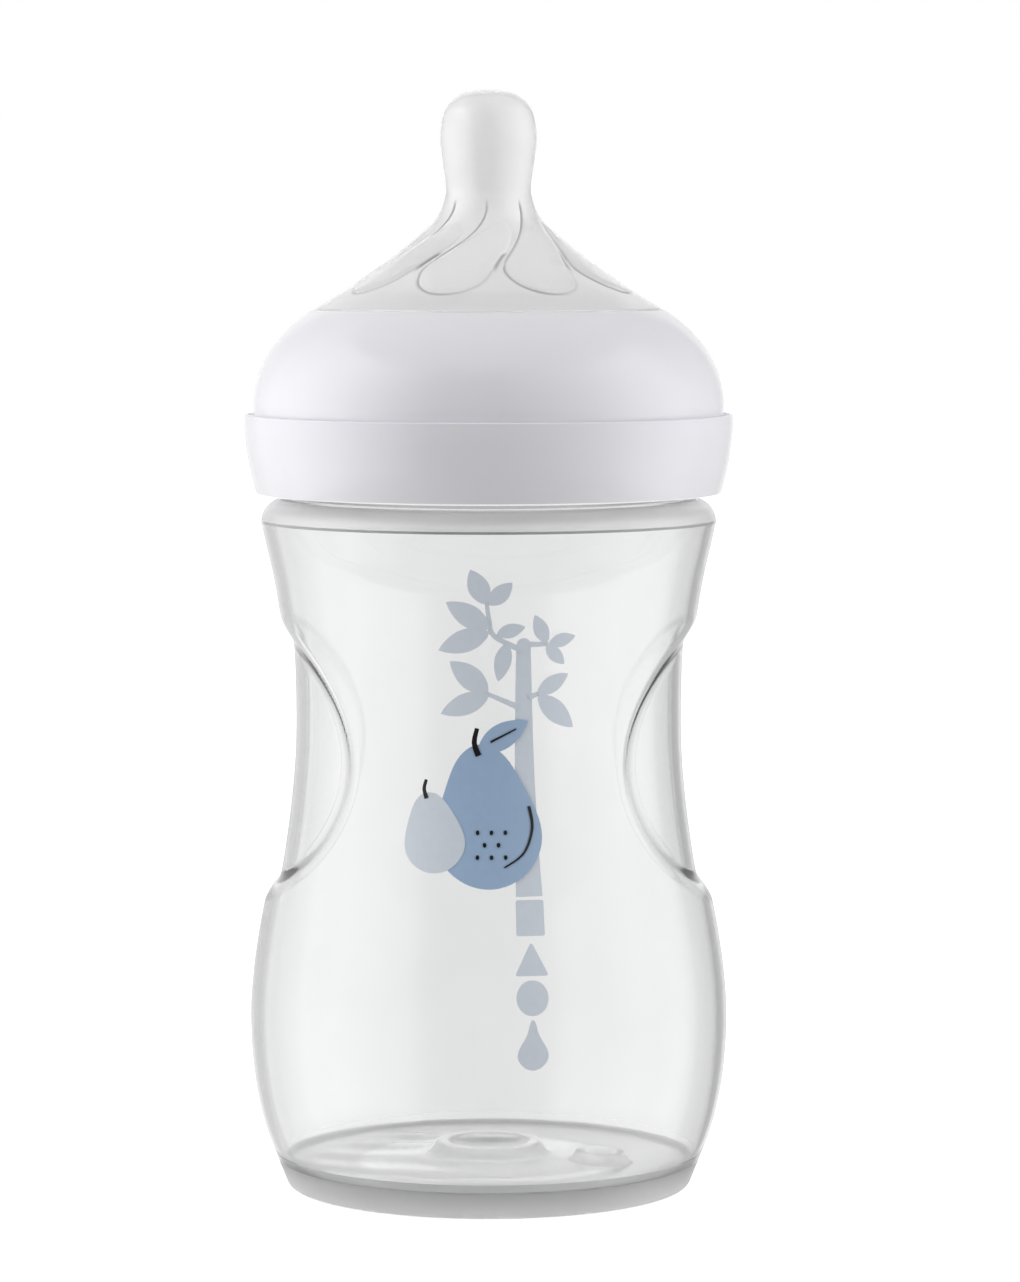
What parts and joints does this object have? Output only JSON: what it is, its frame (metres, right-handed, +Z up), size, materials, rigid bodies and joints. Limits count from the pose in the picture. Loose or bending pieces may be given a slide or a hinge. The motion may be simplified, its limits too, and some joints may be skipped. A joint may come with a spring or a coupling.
{
  "type": "baby bottle",
  "caption": "Clear waisted baby bottle with side grips, a domed white screw ring and a soft petalled teat clamped under the ring.",
  "frame": {"origin": "middle of the standing ring, on the surface that the bottle stands on", "axes": "+Z up along the bottle's axis towards the teat; -Y towards the printed front; the two oval grips face +X and -X"},
  "size_m": [0.07, 0.07, 0.1578],
  "materials": {
    "clear_polypropylene": "clear, smooth, very slightly grey; two-tone printed pattern on the front",
    "white_polypropylene": "glossy white with a faint cool tint",
    "clear_silicone": "soft satin, milky translucent"
  },
  "bodies": {
    "bottle": {"bottle_body": "clear_polypropylene"},
    "teat": {"teat": "clear_silicone"},
    "ring": {"screw_ring": "white_polypropylene"}
  },
  "joints": [
    {"name": "teat_lift", "type": "slide", "parent": "bottle", "child": "teat", "axis": [0, 0, 1], "range_m": [0, 0.0063]},
    {"name": "ring_turn", "type": "hinge", "parent": "teat", "child": "ring", "pos_m": [0, 0, 0.1126], "axis": [0, 0, 1], "range_deg": [0, 450]}
  ],
  "couplings": [
    {"joint": "teat_lift", "follows": "ring_turn", "m_per_rad": 0.00079577}
  ]
}
